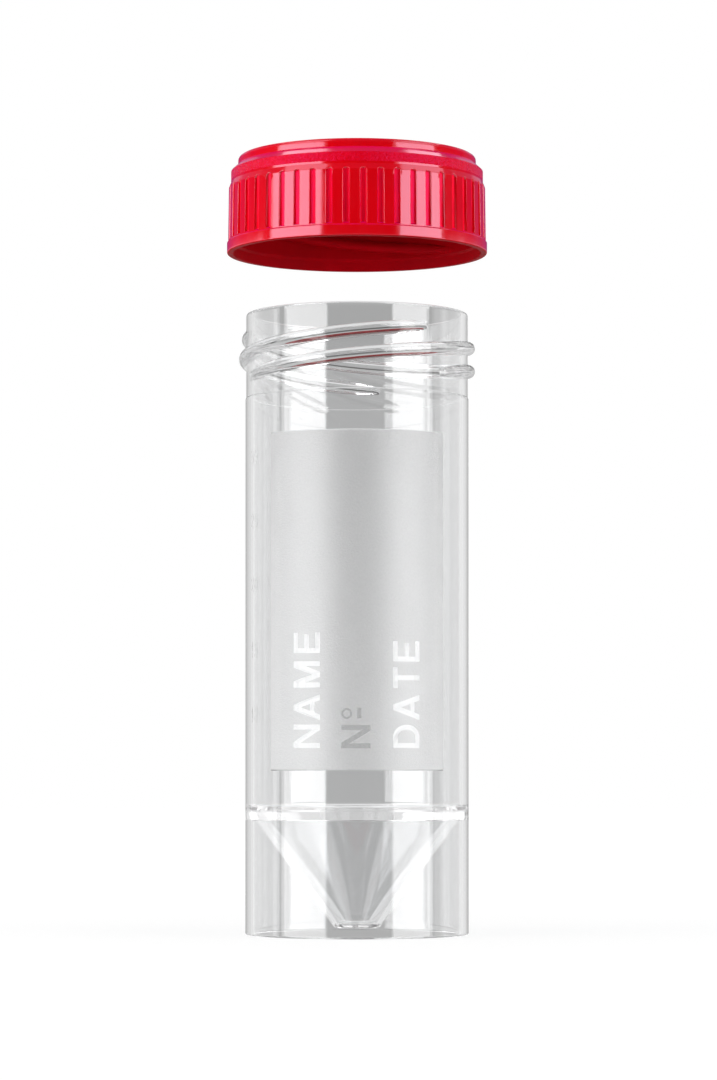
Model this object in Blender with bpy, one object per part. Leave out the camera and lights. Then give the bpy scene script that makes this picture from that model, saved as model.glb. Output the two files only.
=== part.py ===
"""Specimen container: a clear tube on a skirted cone bottom, and its red screw cap.

Metres, +Z up. The origin is the middle of the foot ring, on the table. The writing panel faces -Y.
The cap stands lifted clear of the rim. Turned clockwise from above, it goes down the neck's thread.
Angles round the axis are counted from the front (-Y) towards +X.
"""

import math

import bmesh
import bpy
from mathutils import Matrix, Vector

# Tube
TUBE_RADIUS = 0.0150
TUBE_WALL = 0.0010
TUBE_HEIGHT = 0.0833
RIM_ROUND = 0.00030
FOOT_ROUND = 0.00025

# Cone bottom, inside a free-standing skirt
CONE_TIP_RADIUS = 0.0030
CONE_TIP_LIFT = 0.0009
CONE_RISE = 0.0149
CONE_WALL = 0.0009
CONE_SHOULDER_ROUND = 0.0006
CONE_UNDERSIDE_ROUND = 0.00015
CONE_TIP_ROUND = 0.0005

# Neck, and the raised thread round it
NECK_HEIGHT = 0.0112
NECK_STEP = 0.0001
THREAD_STARTS = 3
THREAD_LEAD = 0.0093
NECK_THREAD_DEPTH = 0.00097
NECK_THREAD_BASE = 0.0017
NECK_THREAD_CREST = 0.0004
NECK_THREAD_SPAN = math.radians(231)
NECK_THREAD_TOP_DROP = 0.0028
NECK_THREAD_TOP_ANGLE = math.radians(38)

# Writing panel, a field that stands a hair proud of the tube
PANEL_HALF_ANGLE = math.radians(49)
PANEL_BOTTOM = 0.0220
PANEL_TOP = 0.0666
PANEL_PROUD = 0.0001

# Cap: heights are counted up from its mouth
CAP_HEIGHT = 0.0130
CAP_LIFTED = 0.0082
CAP_WALL = 0.0011
CAP_ROOF = 0.0014
CAP_TOP_ROUND = 0.0005
CAP_THREAD_CLEARANCE = 0.00038
CAP_NECK_CLEARANCE = 0.0004
CAP_THREAD_ZONE = 0.0090
CAP_SHOULDER_DEPTH = 0.0007
MOUTH_LEAD_IN_HEIGHT = 0.0013
MOUTH_LEAD_IN = 0.00030
MOUTH_FLARE = 0.00015
MOUTH_ROUND = 0.00020

# Outside of the cap: a plain band, the grooved skirt, and two steps up to the top
BAND_HEIGHT = 0.0014
BAND_PROUD = 0.00015
SKIRT_DRAFT = 0.0001
SKIRT_TOP = 0.00875
SKIRT_SLOPE = 0.00075
LEDGE_FOOT = 0.01102
LEDGE_HEAD = 0.01185
LEDGE_STEP = 0.00095

# Grooves in the skirt
GROOVE_COUNT = 48
GROOVE_WIDTH = 0.00095
GROOVE_DEPTH = 0.0004
GROOVE_FOOT = 0.00165
GROOVE_HEAD = 0.00904
GROOVE_FIRST_ANGLE = math.radians(2.8)

# Thread inside the cap
CAP_THREAD_DEPTH = 0.0010
CAP_THREAD_BASE = 0.0013
CAP_THREAD_CREST = 0.0004
CAP_THREAD_SPAN = math.radians(170)
CAP_THREAD_FOOT = 0.0022

# Sealing liner, loose under the roof
LINER_THICKNESS = 0.0008
LINER_GAP = 0.00025
LINER_ROUND = 0.0002

# How finely round things are divided
TUBE_SIDES = 72
CAP_SIDES = 2 * GROOVE_COUNT
ARC_STEPS = 2
THREAD_STEP = math.radians(7)
THREAD_FADE = math.radians(24)
ROOT_BITE = 0.0003
CUT_MARGIN = 0.0010

# Sizes that follow from the ones above
BORE_RADIUS = TUBE_RADIUS - TUBE_WALL
NECK_RADIUS = TUBE_RADIUS - NECK_STEP
SHOULDER_Z = TUBE_HEIGHT - NECK_HEIGHT
THREAD_PITCH = THREAD_LEAD / THREAD_STARTS
CAP_BORE = NECK_RADIUS + NECK_THREAD_DEPTH + CAP_THREAD_CLEARANCE
CAP_SEAT_BORE = NECK_RADIUS + CAP_NECK_CLEARANCE
SKIRT_RADIUS = CAP_BORE + CAP_WALL
BAND_RADIUS = SKIRT_RADIUS + BAND_PROUD
SKIRT_TOP_RADIUS = SKIRT_RADIUS - SKIRT_DRAFT
TIER_RADIUS = SKIRT_RADIUS - GROOVE_DEPTH
TOP_RADIUS = TIER_RADIUS - LEDGE_STEP
ROOF_UNDERSIDE = CAP_HEIGHT - CAP_ROOF
CAP_REST_Z = TUBE_HEIGHT + CAP_LIFTED


def on_circle(angle, radius, height=0.0):
    """A point at an angle from the front, counted towards +X."""
    return Vector((radius * math.sin(angle), -radius * math.cos(angle), height))


def rounded(corners):
    """An outline through corners given as (radius, height, rounding), with arcs in place of the rounded ones."""
    outline = []
    last = len(corners) - 1
    for i, (r, z, rounding) in enumerate(corners):
        here = Vector((r, z))
        if rounding == 0 or i in (0, last):
            outline.append(here)
            continue
        back = (Vector(corners[i - 1][:2]) - here).normalized()
        ahead = (Vector(corners[i + 1][:2]) - here).normalized()
        half = back.angle(ahead) / 2
        middle = here + (back + ahead).normalized() * (rounding / math.sin(half))
        start = here + back * (rounding / math.tan(half)) - middle
        end = here + ahead * (rounding / math.tan(half)) - middle
        sweep = start.angle_signed(end)
        for step in range(ARC_STEPS + 1):
            turn = Matrix.Rotation(-sweep * step / ARC_STEPS, 2)
            outline.append(middle + turn @ start)
    return outline


def turned(name, corners, sides, first_angle=0.0):
    """A solid of revolution: the outline starts and ends on the axis."""
    bm = bmesh.new()
    outline = rounded(corners)
    start = on_circle(first_angle, 1.0)
    verts = [bm.verts.new((start.x * p.x, start.y * p.x, p.y)) for p in outline]
    edges = [bm.edges.new(pair) for pair in zip(verts, verts[1:])]
    bmesh.ops.spin(
        bm, geom=verts + edges, cent=(0, 0, 0), axis=(0, 0, 1), angle=math.tau, steps=sides, use_merge=True
    )
    bmesh.ops.remove_doubles(bm, verts=bm.verts, dist=1e-6)
    return finished(name, bm)


def finished(name, bm):
    """Turn a bmesh into an object with outward faces and smooth shading."""
    bmesh.ops.recalc_face_normals(bm, faces=bm.faces)
    mesh = bpy.data.meshes.new(name)
    bm.to_mesh(mesh)
    bm.free()
    mesh.shade_smooth()
    mesh.set_sharp_from_angle(angle=math.radians(35))
    obj = bpy.data.objects.new(name, mesh)
    bpy.context.scene.collection.objects.link(obj)
    return obj


def thread_ridges(name, foot_angle, foot_height, span, root, crest, base_width, crest_width):
    """One ridge for each start, equally spaced. Root and crest are radii, so crest < root is an inside thread.

    Both ends fade away, in height and in width, as moulded threads do.
    """
    bm = bmesh.new()
    outward = 1 if crest > root else -1
    steps = math.ceil(span / THREAD_STEP)
    for start in range(THREAD_STARTS):
        rings = []
        for i in range(steps + 1):
            along = span * i / steps
            fade = min(1.0, 0.12 + min(along, span - along) / THREAD_FADE)
            fade = math.sin(fade * math.pi / 2)
            angle = foot_angle + start * math.tau / THREAD_STARTS + along
            height = foot_height + THREAD_LEAD * along / math.tau
            top = root + (crest - root) * fade
            buried = root - outward * ROOT_BITE
            half_base = base_width / 2 * (0.45 + 0.55 * fade)
            half_crest = crest_width / 2 * fade
            section = [(buried, -half_base), (root, -half_base), (top, -half_crest)]
            section += [(top, half_crest), (root, half_base), (buried, half_base)]
            rings.append([bm.verts.new(on_circle(angle, r, height + dz)) for r, dz in section])
        for ring, following in zip(rings, rings[1:]):
            for k in range(len(ring)):
                nxt = (k + 1) % len(ring)
                bm.faces.new((ring[k], ring[nxt], following[nxt], following[k]))
        bm.faces.new(rings[0])
        bm.faces.new(list(reversed(rings[-1])))
    return tool(finished(name, bm))


def panel_field(name):
    """The writing panel as a curved slab that starts inside the wall."""
    bm = bmesh.new()
    pitch = math.tau / TUBE_SIDES
    count = int(PANEL_HALF_ANGLE / pitch)
    angles = [-PANEL_HALF_ANGLE] + [pitch * i for i in range(-count, count + 1)] + [PANEL_HALF_ANGLE]
    inner = TUBE_RADIUS - TUBE_WALL / 2
    outer = TUBE_RADIUS + PANEL_PROUD
    corners = [(inner, PANEL_BOTTOM), (outer, PANEL_BOTTOM), (outer, PANEL_TOP), (inner, PANEL_TOP)]
    rings = [[bm.verts.new(on_circle(a, r, z)) for r, z in corners] for a in angles]
    for ring, following in zip(rings, rings[1:]):
        for k in range(len(corners)):
            nxt = (k + 1) % len(corners)
            bm.faces.new((ring[k], ring[nxt], following[nxt], following[k]))
    bm.faces.new(rings[0])
    bm.faces.new(list(reversed(rings[-1])))
    return tool(finished(name, bm))


def groove_cutters(name):
    """One slot for each groove: flat floor, square foot and half-round head."""
    bm = bmesh.new()
    half = GROOVE_WIDTH / 2
    head_steps = 2 * ARC_STEPS
    arc = [math.pi * i / head_steps for i in range(head_steps + 1)]
    slot = [(-half, GROOVE_FOOT), (half, GROOVE_FOOT)]
    slot += [(half * math.cos(a), GROOVE_HEAD - half + half * math.sin(a)) for a in arc]
    for i in range(GROOVE_COUNT):
        turn = Matrix.Rotation(GROOVE_FIRST_ANGLE + math.tau * i / GROOVE_COUNT, 3, "Z")
        ends = []
        for radius in (TIER_RADIUS, BAND_RADIUS + CUT_MARGIN):
            ends.append([bm.verts.new(turn @ Vector((x, -radius, z))) for x, z in slot])
        bm.faces.new(ends[0])
        bm.faces.new(list(reversed(ends[1])))
        for k in range(len(slot)):
            nxt = (k + 1) % len(slot)
            bm.faces.new((ends[0][k], ends[1][k], ends[1][nxt], ends[0][nxt]))
    return tool(finished(name, bm))


def tool(obj):
    """A shape that only adds to or cuts another one."""
    obj.hide_render = True
    obj.display_type = "WIRE"
    return obj


def combine(obj, other, operation):
    """Join or cut with an exact Boolean that stays on the object."""
    boolean = obj.modifiers.new(other.name, "BOOLEAN")
    boolean.operation = operation
    boolean.solver = "EXACT"
    boolean.object = other


def plastic(name, colour, roughness, transmission=0.0, ior=1.5):
    """A moulded plastic."""
    material = bpy.data.materials.new(name)
    material.use_nodes = True
    shader = material.node_tree.nodes["Principled BSDF"]
    shader.inputs["Base Color"].default_value = (*colour, 1.0)
    shader.inputs["Metallic"].default_value = 0.0
    shader.inputs["Roughness"].default_value = roughness
    shader.inputs["Transmission Weight"].default_value = transmission
    shader.inputs["IOR"].default_value = ior
    return material


def make_container():
    """The tube, from the middle of the cone's underside, out and up the outside, and back down the bore."""
    slope = CONE_RISE / (BORE_RADIUS - CONE_TIP_RADIUS)
    lift = CONE_WALL * math.hypot(1.0, slope)
    floor = CONE_TIP_LIFT + CONE_WALL
    floor_radius = CONE_TIP_RADIUS - (lift - CONE_WALL) / slope
    cone_top = CONE_TIP_LIFT + CONE_RISE
    container = turned(
        "container",
        [
            (0.0, CONE_TIP_LIFT, 0),
            (CONE_TIP_RADIUS, CONE_TIP_LIFT, CONE_TIP_ROUND),
            (BORE_RADIUS, cone_top, CONE_UNDERSIDE_ROUND),
            (BORE_RADIUS, 0.0, FOOT_ROUND),
            (TUBE_RADIUS, 0.0, FOOT_ROUND),
            (TUBE_RADIUS, SHOULDER_Z - NECK_STEP, 0),
            (NECK_RADIUS, SHOULDER_Z, 0),
            (NECK_RADIUS, TUBE_HEIGHT, RIM_ROUND),
            (BORE_RADIUS, TUBE_HEIGHT, RIM_ROUND),
            (BORE_RADIUS, cone_top + lift, CONE_SHOULDER_ROUND),
            (floor_radius, floor, CONE_TIP_ROUND),
            (0.0, floor, 0),
        ],
        TUBE_SIDES,
    )
    container.data.materials.append(plastic("clear_polystyrene", (0.95, 0.96, 0.97), 0.05, 1.0, 1.59))
    ridges = thread_ridges(
        "neck_thread",
        NECK_THREAD_TOP_ANGLE - NECK_THREAD_SPAN,
        TUBE_HEIGHT - NECK_THREAD_TOP_DROP - THREAD_LEAD * NECK_THREAD_SPAN / math.tau,
        NECK_THREAD_SPAN,
        NECK_RADIUS,
        NECK_RADIUS + NECK_THREAD_DEPTH,
        NECK_THREAD_BASE,
        NECK_THREAD_CREST,
    )
    combine(container, ridges, "UNION")
    combine(container, panel_field("writing_panel_field"), "UNION")
    return container


def cap_thread_foot_angle():
    """Where the cap's ridges start, so that they run midway between the neck's ridges all the way down."""
    foot = CAP_REST_Z + CAP_THREAD_FOOT
    neck_top = TUBE_HEIGHT - NECK_THREAD_TOP_DROP
    climb = foot - (neck_top + THREAD_PITCH / 2)
    return NECK_THREAD_TOP_ANGLE + climb * math.tau / THREAD_LEAD


def make_cap(axis):
    """The cap, from the middle of its top, out and down the skirt, round the mouth and up to the roof."""
    cap = turned(
        "cap",
        [
            (0.0, CAP_HEIGHT, 0),
            (TOP_RADIUS, CAP_HEIGHT, CAP_TOP_ROUND),
            (TOP_RADIUS, LEDGE_HEAD, 0),
            (TIER_RADIUS, LEDGE_FOOT, 0),
            (TIER_RADIUS, SKIRT_TOP + SKIRT_SLOPE, 0),
            (SKIRT_TOP_RADIUS, SKIRT_TOP, 0),
            (SKIRT_RADIUS, BAND_HEIGHT + BAND_PROUD, 0),
            (BAND_RADIUS, BAND_HEIGHT, 0),
            (BAND_RADIUS, 0.0, MOUTH_ROUND),
            (CAP_BORE + MOUTH_LEAD_IN + MOUTH_FLARE, 0.0, MOUTH_ROUND),
            (CAP_BORE + MOUTH_LEAD_IN, MOUTH_LEAD_IN_HEIGHT, 0),
            (CAP_BORE, MOUTH_LEAD_IN_HEIGHT + MOUTH_LEAD_IN, 0),
            (CAP_BORE, CAP_THREAD_ZONE, 0),
            (CAP_SEAT_BORE, CAP_THREAD_ZONE + CAP_SHOULDER_DEPTH, 0),
            (CAP_SEAT_BORE, ROOF_UNDERSIDE, CAP_TOP_ROUND),
            (0.0, ROOF_UNDERSIDE, 0),
        ],
        CAP_SIDES,
        GROOVE_FIRST_ANGLE,
    )
    cap.parent = axis
    cap.data.materials.append(plastic("red_polyethylene", (0.60, 0.0, 0.006), 0.25))
    grooves = groove_cutters("cap_grooves")
    ridges = thread_ridges(
        "cap_thread",
        cap_thread_foot_angle(),
        CAP_THREAD_FOOT,
        CAP_THREAD_SPAN,
        CAP_BORE,
        CAP_BORE - CAP_THREAD_DEPTH,
        CAP_THREAD_BASE,
        CAP_THREAD_CREST,
    )
    for shape in (grooves, ridges):
        shape.parent = axis
    combine(cap, ridges, "UNION")
    combine(cap, grooves, "DIFFERENCE")
    return cap


def make_liner(axis):
    """A flat foam disc that fills the seat under the roof."""
    radius = CAP_SEAT_BORE - LINER_GAP
    top = ROOF_UNDERSIDE - LINER_GAP
    liner = turned(
        "liner",
        [
            (0.0, top, 0),
            (radius, top, LINER_ROUND),
            (radius, top - LINER_THICKNESS, LINER_ROUND),
            (0.0, top - LINER_THICKNESS, 0),
        ],
        TUBE_SIDES,
    )
    liner.parent = axis
    liner.data.materials.append(plastic("white_foam", (0.85, 0.85, 0.83), 0.7))
    return liner


def main():
    for obj in list(bpy.data.objects):
        bpy.data.objects.remove(obj, do_unlink=True)
    make_container()
    cap_axis = bpy.data.objects.new("cap_axis", None)
    cap_axis.location = (0.0, 0.0, CAP_REST_Z)
    bpy.context.scene.collection.objects.link(cap_axis)
    make_cap(cap_axis)
    make_liner(cap_axis)


main()
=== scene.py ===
# %% [markdown]
# A clear specimen tube with a red screw cap held just above it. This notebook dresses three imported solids:
# the tube with its cone bottom, the cap, and the foam liner inside the cap. Clear plastic shows every
# facet, so each moulding is made again here as one fine closed mesh from the same sizes as the solid it
# stands for. Everything is in metres, +Z up. Angles are counted from the front (-Y) towards +X.

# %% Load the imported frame
import math

import bmesh
import bpy
import numpy as np
from mathutils import Matrix, Vector
from mathutils.geometry import delaunay_2d_cdt


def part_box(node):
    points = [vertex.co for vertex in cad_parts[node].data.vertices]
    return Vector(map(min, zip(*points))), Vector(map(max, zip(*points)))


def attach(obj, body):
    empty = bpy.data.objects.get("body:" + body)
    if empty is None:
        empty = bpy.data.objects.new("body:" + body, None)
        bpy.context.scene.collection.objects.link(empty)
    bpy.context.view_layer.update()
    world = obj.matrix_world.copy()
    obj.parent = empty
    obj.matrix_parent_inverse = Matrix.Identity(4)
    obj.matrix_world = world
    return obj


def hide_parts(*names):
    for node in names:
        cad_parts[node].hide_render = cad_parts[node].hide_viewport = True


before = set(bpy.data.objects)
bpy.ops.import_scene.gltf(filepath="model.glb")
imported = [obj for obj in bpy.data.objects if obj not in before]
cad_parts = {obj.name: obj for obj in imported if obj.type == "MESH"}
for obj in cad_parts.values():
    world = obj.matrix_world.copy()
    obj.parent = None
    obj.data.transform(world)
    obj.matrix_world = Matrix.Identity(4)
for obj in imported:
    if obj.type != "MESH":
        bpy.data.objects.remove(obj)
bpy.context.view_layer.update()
tube_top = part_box("container")[1].z
cap_mouth, cap_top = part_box("cap")[0].z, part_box("cap")[1].z
liner_low, liner_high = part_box("liner")
print("tube", round(tube_top * 1000, 2), "mm tall, cap mouth at", round(cap_mouth * 1000, 2), "mm")

# %% [markdown]
# The photograph was taken level, from about half a metre, with the eye low beside the tube. The lens is
# long, and it is shifted up, as a view camera's is, so that the tube's sides stay upright while the cap
# stays in the frame. The camera comes first, so that every piece can be checked against the photograph as
# it is made.

# %% Camera
FRAME_HEIGHT_PX = 1080
HORIZON_BELOW_MIDDLE_PX = 229
FOCAL_MM = 120.0
SENSOR_MM = 36.0
PITCH = math.radians(0.72)
CAMERA_AT = (0.0002, -0.484, 0.0222)


def in_scene(name, data):
    """A new object in the scene."""
    obj = bpy.data.objects.new(name, data)
    bpy.context.scene.collection.objects.link(obj)
    return obj


camera = in_scene("camera", bpy.data.cameras.new("camera"))
camera.data.lens = FOCAL_MM
camera.data.sensor_width = SENSOR_MM
focal_px = FOCAL_MM / SENSOR_MM * FRAME_HEIGHT_PX
camera.data.shift_y = (HORIZON_BELOW_MIDDLE_PX - focal_px * math.tan(PITCH)) / FRAME_HEIGHT_PX
camera.location = CAMERA_AT
camera.rotation_euler = (math.pi / 2 + PITCH, 0.0, 0.0)
bpy.context.scene.camera = camera
bpy.context.scene.view_settings.view_transform = "Standard"
print("camera shift", round(camera.data.shift_y, 3))

# %% [markdown]
# The sizes below are the mouldings' own, the same as in the solids. Heights in the tube are counted from
# the table, and heights in the cap from its mouth. Writing each size once keeps the thread, the panel and
# the cap in step with one another.

# %% Sizes of the tube
TUBE_RADIUS = 0.0150
BORE_RADIUS = 0.0140
RIM_ROUND = 0.0003
FOOT_ROUND = 0.00025
NECK_STEP = 0.0001
NECK_RADIUS = TUBE_RADIUS - NECK_STEP
NECK_HEIGHT = 0.0112
SHOULDER_Z = tube_top - NECK_HEIGHT
CONE_TIP_RADIUS = 0.0030
CONE_TIP_LIFT = 0.0009
CONE_RISE = 0.0149
CONE_WALL = 0.0009
CONE_SHOULDER_ROUND = 0.0006
CONE_UNDERSIDE_ROUND = 0.00015
CONE_TIP_ROUND = 0.0005
PANEL_HALF_ANGLE = math.radians(49)
PANEL_LOW, PANEL_HIGH = 0.0220, 0.0666
PANEL_PROUD = 0.0001
print("wall", round((TUBE_RADIUS - BORE_RADIUS) * 1000, 2), "mm")

# %% Sizes of the thread
THREAD_STARTS = 3
THREAD_LEAD = 0.0093
THREAD_PITCH = THREAD_LEAD / THREAD_STARTS
THREAD_TOP_DROP = 0.0028
THREAD_TOP_ANGLE = math.radians(38)
NECK_RIDGE = {
    "depth": 0.00097,
    "half_base": 0.00092,
    "span": math.radians(231),
    "fade": math.radians(26),
}
NECK_RIDGE["foot_angle"] = THREAD_TOP_ANGLE - NECK_RIDGE["span"]
NECK_RIDGE["foot_z"] = tube_top - THREAD_TOP_DROP - THREAD_LEAD * NECK_RIDGE["span"] / math.tau
print("thread pitch", round(THREAD_PITCH * 1000, 2), "mm, lead", round(THREAD_LEAD * 1000, 2), "mm")

# %% [markdown]
# Both mouldings are bodies of revolution with something extra, so both start from a half outline. Sharp
# corners don't exist on a moulding: each corner gets its own small radius, which is what catches the light
# along an edge.

# %% Outline helpers
ARC_STEPS = 5


def on_circle(angle, radius, height=0.0):
    """A point at an angle from the front, counted towards +X."""
    return Vector((radius * math.sin(angle), -radius * math.cos(angle), height))


def rounded(corners, steps=ARC_STEPS):
    """Points through corners given as (radius, height, rounding), with an arc for each rounded one."""
    outline = []
    for i, (r, z, rounding) in enumerate(corners):
        here = Vector((r, z))
        if rounding == 0 or i in (0, len(corners) - 1):
            outline.append((r, z))
            continue
        back = (Vector(corners[i - 1][:2]) - here).normalized()
        ahead = (Vector(corners[i + 1][:2]) - here).normalized()
        half = back.angle(ahead) / 2
        middle = here + (back + ahead).normalized() * (rounding / math.sin(half))
        start = here + back * (rounding / math.tan(half)) - middle
        end = here + ahead * (rounding / math.tan(half)) - middle
        sweep = start.angle_signed(end)
        for step in range(steps + 1):
            outline.append(tuple(middle + Matrix.Rotation(-sweep * step / steps, 2) @ start))
    return outline


def with_heights(outline, heights):
    """The outline with extra points on its upright runs, one at each height that such a run passes."""
    filled = [outline[0]]
    for (r0, z0), (r1, z1) in zip(outline, outline[1:]):
        inside = [z for z in heights if min(z0, z1) + 1e-6 < z < max(z0, z1) - 1e-6]
        for z in sorted(inside, reverse=z1 < z0):
            filled.append((r0 + (r1 - r0) * (z - z0) / (z1 - z0), z))
        filled.append((r1, z1))
    return filled


print("a rounded corner has", ARC_STEPS + 1, "points")

# %% [markdown]
# A moulding is one skin, so its mesh has to be one closed skin too: light bends wrongly at a seam that is
# open or doubled. The helper below collects grids of points, each a fine strip of the surface. Grids meet
# at equal points, and those are merged when the mesh is made. Blender's spin could turn a plain outline,
# but it can't make thread ridges or grooves in the same skin.

# %% A skin made of grids
class Skin:
    """Points and faces of one closed surface, collected piece by piece."""

    def __init__(self):
        self.points = []
        self.faces = []
        self.finish = []
        self.exact = {}
        self.raised = []

    def add_points(self, points):
        first = len(self.points)
        self.points.extend(points)
        return first

    def add_face(self, corners, finish=0):
        self.faces.append(tuple(corners))
        self.finish.append(finish)

    def grid(self, angles, columns, finish=0, skip=None, shift=0):
        """One column of (radius, height) points for each angle, closed round the axis.

        shift counts the rows that the last column climbs to meet the first, as a thread does in a full turn.
        finish is a material's number, or finish(row, column) gives it. A face stays open where
        skip(row, column) is true.
        """
        rows = len(columns[0])
        points = [tuple(on_circle(a, r, z)) for a, column in zip(angles, columns) for r, z in column]
        first = self.add_points(points)
        for c in range(len(angles)):
            nxt = (c + 1) % len(angles)
            climb = shift if nxt == 0 else 0
            for k in range(rows - 1):
                if k + 1 + climb >= rows or (skip and skip(k, c)):
                    continue
                low, high = first + c * rows + k, first + nxt * rows + k + climb
                chosen = finish(k, c) if callable(finish) else finish
                self.add_face((low, high, high + 1, low + 1), chosen)

    def annulus(self, fine_angles, fine, coarse_angles, coarse, finish=0):
        """A ring between a finely divided circle and a coarse one, both given as (radius, height)."""
        ratio = len(fine_angles) // len(coarse_angles)
        start = self.add_points([tuple(on_circle(a, *fine)) for a in fine_angles])
        inner = self.add_points([tuple(on_circle(a, *coarse)) for a in coarse_angles])
        for k in range(len(coarse_angles)):
            edge = [start + (k * ratio + i) % len(fine_angles) for i in range(ratio + 1)]
            nxt = (k + 1) % len(coarse_angles)
            self.add_face(edge + [inner + nxt, inner + k], finish)


print("skin helper ready")

# %% [markdown]
# Light is bent by the shading normals, so these have to be right everywhere. Blender's own smooth shading
# gives a tiny rounding as much say as the long wall beside it, which tilts the whole wall and moves
# everything seen through it. Here each corner's normal is an average by face area, over the faces that turn
# away only a little. The sheets with letters are cut into uneven triangles, so they take the cylinder's
# exact normals.

# %% Shading normals
SMOOTH_WITHIN = math.cos(math.radians(32))
EXACT_WITHIN = math.cos(math.radians(12))


def shade(mesh):
    """Set every corner's normal."""
    corners, faces = len(mesh.loops), len(mesh.polygons)
    vertex = np.zeros(corners, dtype=np.int64)
    mesh.loops.foreach_get("vertex_index", vertex)
    face_normal, area = np.zeros(faces * 3), np.zeros(faces)
    mesh.polygons.foreach_get("normal", face_normal)
    mesh.polygons.foreach_get("area", area)
    sides = np.zeros(faces, dtype=np.int64)
    mesh.polygons.foreach_get("loop_total", sides)
    face = np.repeat(np.arange(faces), sides)
    normal = face_normal.reshape(-1, 3)[face]
    weight = area[face]

    order = np.argsort(vertex, kind="stable")
    sharing = np.bincount(vertex, minlength=len(mesh.vertices))
    first = (np.cumsum(sharing) - sharing)[vertex[order]]
    count = sharing[vertex[order]]
    place = np.arange(corners) - first
    total = np.zeros((corners, 3))
    for step in range(sharing.max()):
        here = np.nonzero(count > step)[0]
        mine = order[here]
        other = order[first[here] + (place[here] + step) % count[here]]
        near = (normal[mine] * normal[other]).sum(axis=1) > SMOOTH_WITHIN
        total[mine[near]] += normal[other[near]] * weight[other[near], None]
    total /= np.linalg.norm(total, axis=1, keepdims=True)

    exact = np.zeros(len(mesh.vertices) * 3)
    mesh.attributes["exact"].data.foreach_get("vector", exact)
    wanted = exact.reshape(-1, 3)[vertex]
    aligned = (wanted * normal).sum(axis=1) > EXACT_WITHIN
    total[aligned] = wanted[aligned]
    mesh.shade_smooth()
    mesh.normals_split_custom_set(total.tolist())


print("normals ready")

# %% [markdown]
# A skin becomes an object in one step: equal points are merged, the faces are turned outwards, and faces
# marked as raised are pushed out a little, as moulded numerals stand out. The number of open edges is
# printed, because clear plastic with a hole in its skin bends light wrongly. It has to be 0.

# %% Turn a skin into an object
MERGE = 2e-8
RAISED_BY = 0.00003


def finished(name, skin, materials):
    """The mesh object of a skin, closed, with its materials and normals."""
    mesh = bpy.data.meshes.new(name)
    mesh.from_pydata(skin.points, [], skin.faces)
    mesh.polygons.foreach_set("material_index", skin.finish)
    bm = bmesh.new()
    bm.from_mesh(mesh)
    exact = bm.verts.layers.float_vector.new("exact")
    bm.verts.ensure_lookup_table()
    for index, normal in skin.exact.items():
        bm.verts[index][exact] = normal
    marks = bm.faces.layers.int.new("raised")
    bm.faces.ensure_lookup_table()
    for index in skin.raised:
        bm.faces[index][marks] = 1
    bmesh.ops.remove_doubles(bm, verts=bm.verts, dist=MERGE)
    bmesh.ops.recalc_face_normals(bm, faces=bm.faces)
    raised = [f for f in bm.faces if f[marks]]
    if raised:
        edges = list(dict.fromkeys(e for f in raised for e in f.edges))
        pushed = bmesh.ops.extrude_face_region(bm, geom=raised + edges)["geom"]
        for v in (g for g in pushed if isinstance(g, bmesh.types.BMVert)):
            v.co += v[exact] * RAISED_BY
    open_edges = sum(1 for e in bm.edges if len(e.link_faces) != 2)
    volume = bm.calc_volume(signed=True)
    bm.to_mesh(mesh)
    bm.free()
    for material in materials:
        mesh.materials.append(material)
    shade(mesh)
    obj = in_scene(name, mesh)
    triangles = sum(len(p.vertices) - 2 for p in mesh.polygons)
    print(name, triangles, "triangles,", open_edges, "open edges,", round(volume * 1e6, 3), "ml of plastic")
    return obj


print("skins can be closed")

# %% [markdown]
# The letters on the writing panel are polished windows in the frosted field, drawn here with a plain pen:
# each glyph is a few centre lines of even weight on a grid one unit high. A font object would do too, but
# pen strokes give clean outlines that cut into the panel without tiny slivers.

# %% Pen strokes
def pen(path, weight, closed=False):
    """Four-sided pieces that together cover a line of even weight, mitred at its corners."""
    points = [Vector(p) for p in path]
    count = len(points)
    sides = []
    for i, p in enumerate(points):
        before = points[i - 1] if closed or i > 0 else None
        after = points[(i + 1) % count] if closed or i < count - 1 else None
        runs = [(u, v) for u, v in ((before, p), (p, after)) if u is not None and v is not None]
        along = [(v - u).normalized() for u, v in runs]
        normals = [Vector((-d.y, d.x)) for d in along]
        mitre = sum(normals, Vector((0.0, 0.0))).normalized()
        half = weight / 2 / max(0.5, mitre.dot(normals[0]))
        sides.append((p + mitre * half, p - mitre * half))
    pairs = list(zip(sides, sides[1:] + sides[:1])) if closed else list(zip(sides, sides[1:]))
    return [[a[0], a[1], b[1], b[0]] for a, b in pairs]


def bar(x0, y0, x1, y1):
    """An upright rectangle."""
    return [Vector((x0, y0)), Vector((x1, y0)), Vector((x1, y1)), Vector((x0, y1))]


def leg(foot, head, weight):
    """A slanted stroke from the base line to the top line, cut level at both ends."""
    half = weight / 2
    corners = ((foot - half, 0), (foot + half, 0), (head + half, 1), (head - half, 1))
    return [Vector(corner) for corner in corners]


def arc(cx, cy, rx, ry, start, end, steps=14):
    """Points along part of an ellipse, with its angles in degrees."""
    turns = [math.radians(start + (end - start) * i / steps) for i in range(steps + 1)]
    return [(cx + rx * math.cos(t), cy + ry * math.sin(t)) for t in turns]


print("pen ready")

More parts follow.
